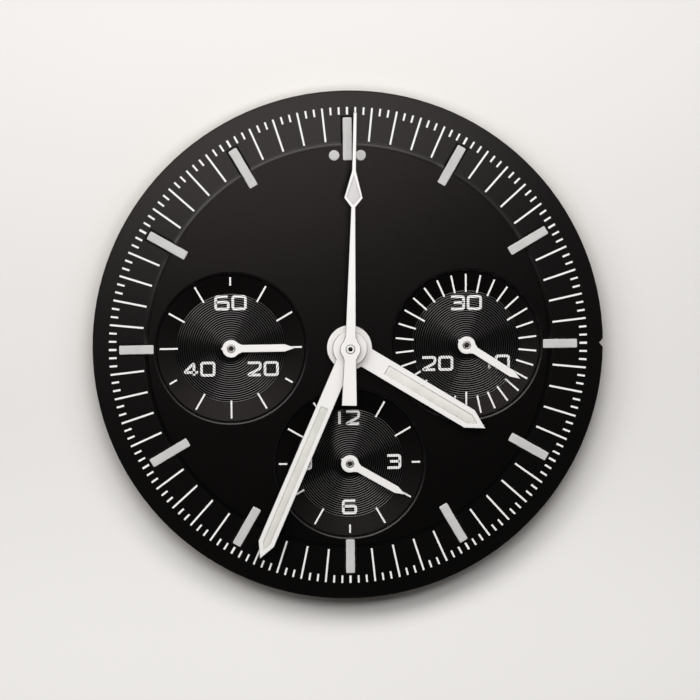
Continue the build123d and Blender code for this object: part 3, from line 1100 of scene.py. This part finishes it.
# %% [markdown]
# The windows of the hands are filled with luminous paint that shrinks as it dries. It sinks most
# along the walls of its window and keeps a low crown in the middle, so the wall towards the lamp
# throws a fine dark line on it. The table gives each filling's sink and then the width and the
# rise of each inset, in millimetres.

# %% Fill the windows of the hands


def crowned_filling(node, sink, steps):
    """A copy of a filling with its top sunk, then raised again by insets towards the middle."""
    piece = open_clean_copy(node, "dried_" + node)
    bpy.ops.mesh.normals_make_consistent(inside=False)
    bpy.ops.mesh.select_mode(type="FACE")
    bpy.ops.mesh.select_all(action="DESELECT")
    bpy.ops.object.mode_set(mode="OBJECT")
    for face in piece.data.polygons:
        face.select = face.normal.z > 0.9
    bpy.ops.object.mode_set(mode="EDIT")
    bpy.ops.transform.translate(value=(0, 0, -sink))
    for thickness, rise in steps:
        bpy.ops.mesh.inset(thickness=thickness, depth=rise)
    bpy.ops.object.mode_set(mode="OBJECT")
    scale_mesh(piece, mm)
    bpy.ops.object.shade_smooth_by_angle(angle=math.radians(50))
    return piece


fillings = {
    "hour_hand_lume": (0.05, ((0.06, 0.025), (0.08, 0.015))),
    "minute_hand_lume": (0.035, ((0.05, 0.020), (0.07, 0.010))),
    "chronograph_hand_lume": (0.03, ((0.06, 0.02), (0.08, 0.01))),
}
for node, (sink, steps) in fillings.items():
    filling = crowned_filling(node, sink, steps)
    give(filling, hand_lumes[node], node.replace("_lume", ""))
    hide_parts(node)
print(len(fillings), "windows filled")

# %% [markdown]
# The subdials carry plain square numbers. A digit is drawn as a path on a grid of one width and
# one height, its corners are rounded, and the path is then raised to the thickness of the ink and
# widened to the stroke of the print with Solidify. Bevel and Solidify are unsure of themselves on
# strokes of a fifth of a millimetre, so the digits are drawn a thousand times too large, in
# metres for millimetres, and shrunk to their real size at the end.

# %% Draw the digits
digit_height = 0.81
digit_width = 0.82
digit_spacing = 1.12
spacing_after_one = 0.86
stroke_width = 0.17
ink_thickness = 0.012
corner_radius = 0.12
digit_paths = {
    "0": [[(0, 0), (1, 0), (1, 1), (0, 1), (0, 0)]],
    "1": [[(0.50, 1), (0.50, 0)]],
    "2": [[(0, 1), (1, 1), (1, 0.55), (0, 0), (1.02, 0)]],
    "3": [[(0, 1), (1, 1), (1, 0), (0, 0)], [(0.22, 0.52), (1, 0.52)]],
    "4": [[(0.76, 0), (0.76, 1), (0, 0.25), (1.08, 0.25)]],
    "6": [[(0.96, 1), (0, 1), (0, 0), (1, 0), (1, 0.56), (0, 0.56)]],
    "9": [[(0.04, 0), (1, 0), (1, 1), (0, 1), (0, 0.44), (1, 0.44)]],
}


def digit(character, centre):
    """The strokes of one digit centred on a point in millimetres, thin and with round corners."""
    strokes = []
    for points in digit_paths[character]:
        path = [
            (centre[0] + (x - 0.5) * digit_width, centre[1] + (y - 0.5) * digit_height, centre[2])
            for x, y in points
        ]
        stroke = draw_path("stroke", path)
        edit_whole_mesh()
        bpy.ops.mesh.bevel(offset=corner_radius, segments=3, affect="VERTICES")
        bpy.ops.mesh.select_all(action="SELECT")
        bpy.ops.mesh.extrude_edges_move(TRANSFORM_OT_translate={"value": (0, 0, ink_thickness)})
        bpy.ops.mesh.select_all(action="SELECT")
        bpy.ops.mesh.normals_make_consistent(inside=False)
        bpy.ops.object.mode_set(mode="OBJECT")
        thicken = stroke.modifiers.new("stroke", "SOLIDIFY")
        thicken.thickness = stroke_width
        thicken.offset = 0
        thicken.use_even_offset = True
        bpy.ops.object.modifier_apply(modifier=thicken.name)
        strokes.append(stroke)
    return strokes


print(len(digit_paths), "digits drawn on the grid")

# %% [markdown]
# A number is placed by its middle, in millimetres from the centre of its subdial. A 1 is narrow,
# so the digit after it stands closer. All the strokes of one subdial are joined into one piece.

# %% Print the numbers
numbers = {
    "running_seconds": [("60", 0.01, 2.97), ("20", 2.07, -1.40), ("40", -2.08, -1.37)],
    "minute_counter": [("30", 0.0, 2.75), ("10", 1.96, -1.20), ("20", -1.905, -1.23)],
    "hour_counter": [
        ("12", -0.21, 2.995), ("3", 2.905, 0.04), ("6", -0.02, -2.92), ("9", -2.97, 0.07)
    ],
}


def join_pieces(pieces, name):
    """Joins several pieces into one."""
    bpy.ops.object.select_all(action="DESELECT")
    for piece in pieces:
        piece.select_set(True)
    bpy.context.view_layer.objects.active = pieces[0]
    bpy.ops.object.join()
    made = bpy.context.object
    made.name = name
    edit_whole_mesh()
    bpy.ops.mesh.normals_make_consistent(inside=False)
    bpy.ops.object.mode_set(mode="OBJECT")
    return made


for key, words in numbers.items():
    middle = subdial_centres[key] / mm
    strokes = []
    for text, x, y in words:
        for index, character in enumerate(text):
            spacing = spacing_after_one if text.startswith("1") else digit_spacing
            shift = (index - (len(text) - 1) / 2) * spacing
            centre = (middle.x + x + shift, middle.y + y, disc_top)
            strokes += digit(character, centre)
    printed = join_pieces(strokes, "numbers_" + key)
    scale_mesh(printed, mm)
    give(printed, number_inks[key], "dial")
print("numbers printed on three subdials")

# %% [markdown]
# The floor is a pale sheet just under the tips of the feet. It isn't part of the object. Its
# colour carries painted light: darkest across the middle, lighter towards the far side and
# lightest on the near side.

# %% Lay the floor
floor_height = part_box("dial_foot_1")[0].z
floor_gap = 0.01 * mm
floor_size = 1.6
bpy.ops.mesh.primitive_plane_add(size=floor_size, location=(0, 0, floor_height - floor_gap))
floor = bpy.context.object
floor.name = "studio_floor"
paper, tree, shader = begin_finish("pale_paper", roughness=0.9, specular=0.1)
grain = place_group(tree, fine_grain, Grain_size=0.4, Drift_size=40.0)
along = component(tree, object_place(tree), "Y")
smooth = {"interpolation_type": "SMOOTHSTEP"}
# Painted light: the floor's colour is lighter far off and lightest near, darkest across the
# middle.
far_painted_light = ramp(tree, along, 2 * mm, 24 * mm, settings=smooth)
near_painted_light = ramp(tree, along, -2 * mm, -24 * mm, settings=smooth)
pale = mixed_colour(tree, far_painted_light, grey(0.640, 0.014), grey(0.695, 0.014))
pale = mixed_colour(tree, near_painted_light, pale, grey(0.785, 0.012))
cloud = between(tree, grain.outputs["Drift"], 0.0, 0.3)
pale = mixed_colour(tree, cloud, pale, grey(0.655, 0.014))
tree.links.new(pale, shader.inputs["Base Color"])
floor.data.materials.append(paper)
print("floor at", round(floor_height / mm, 2), "mm")

# %% [markdown]
# Blender must not change the size of the object.

# %% Finish
print("scene dressed")
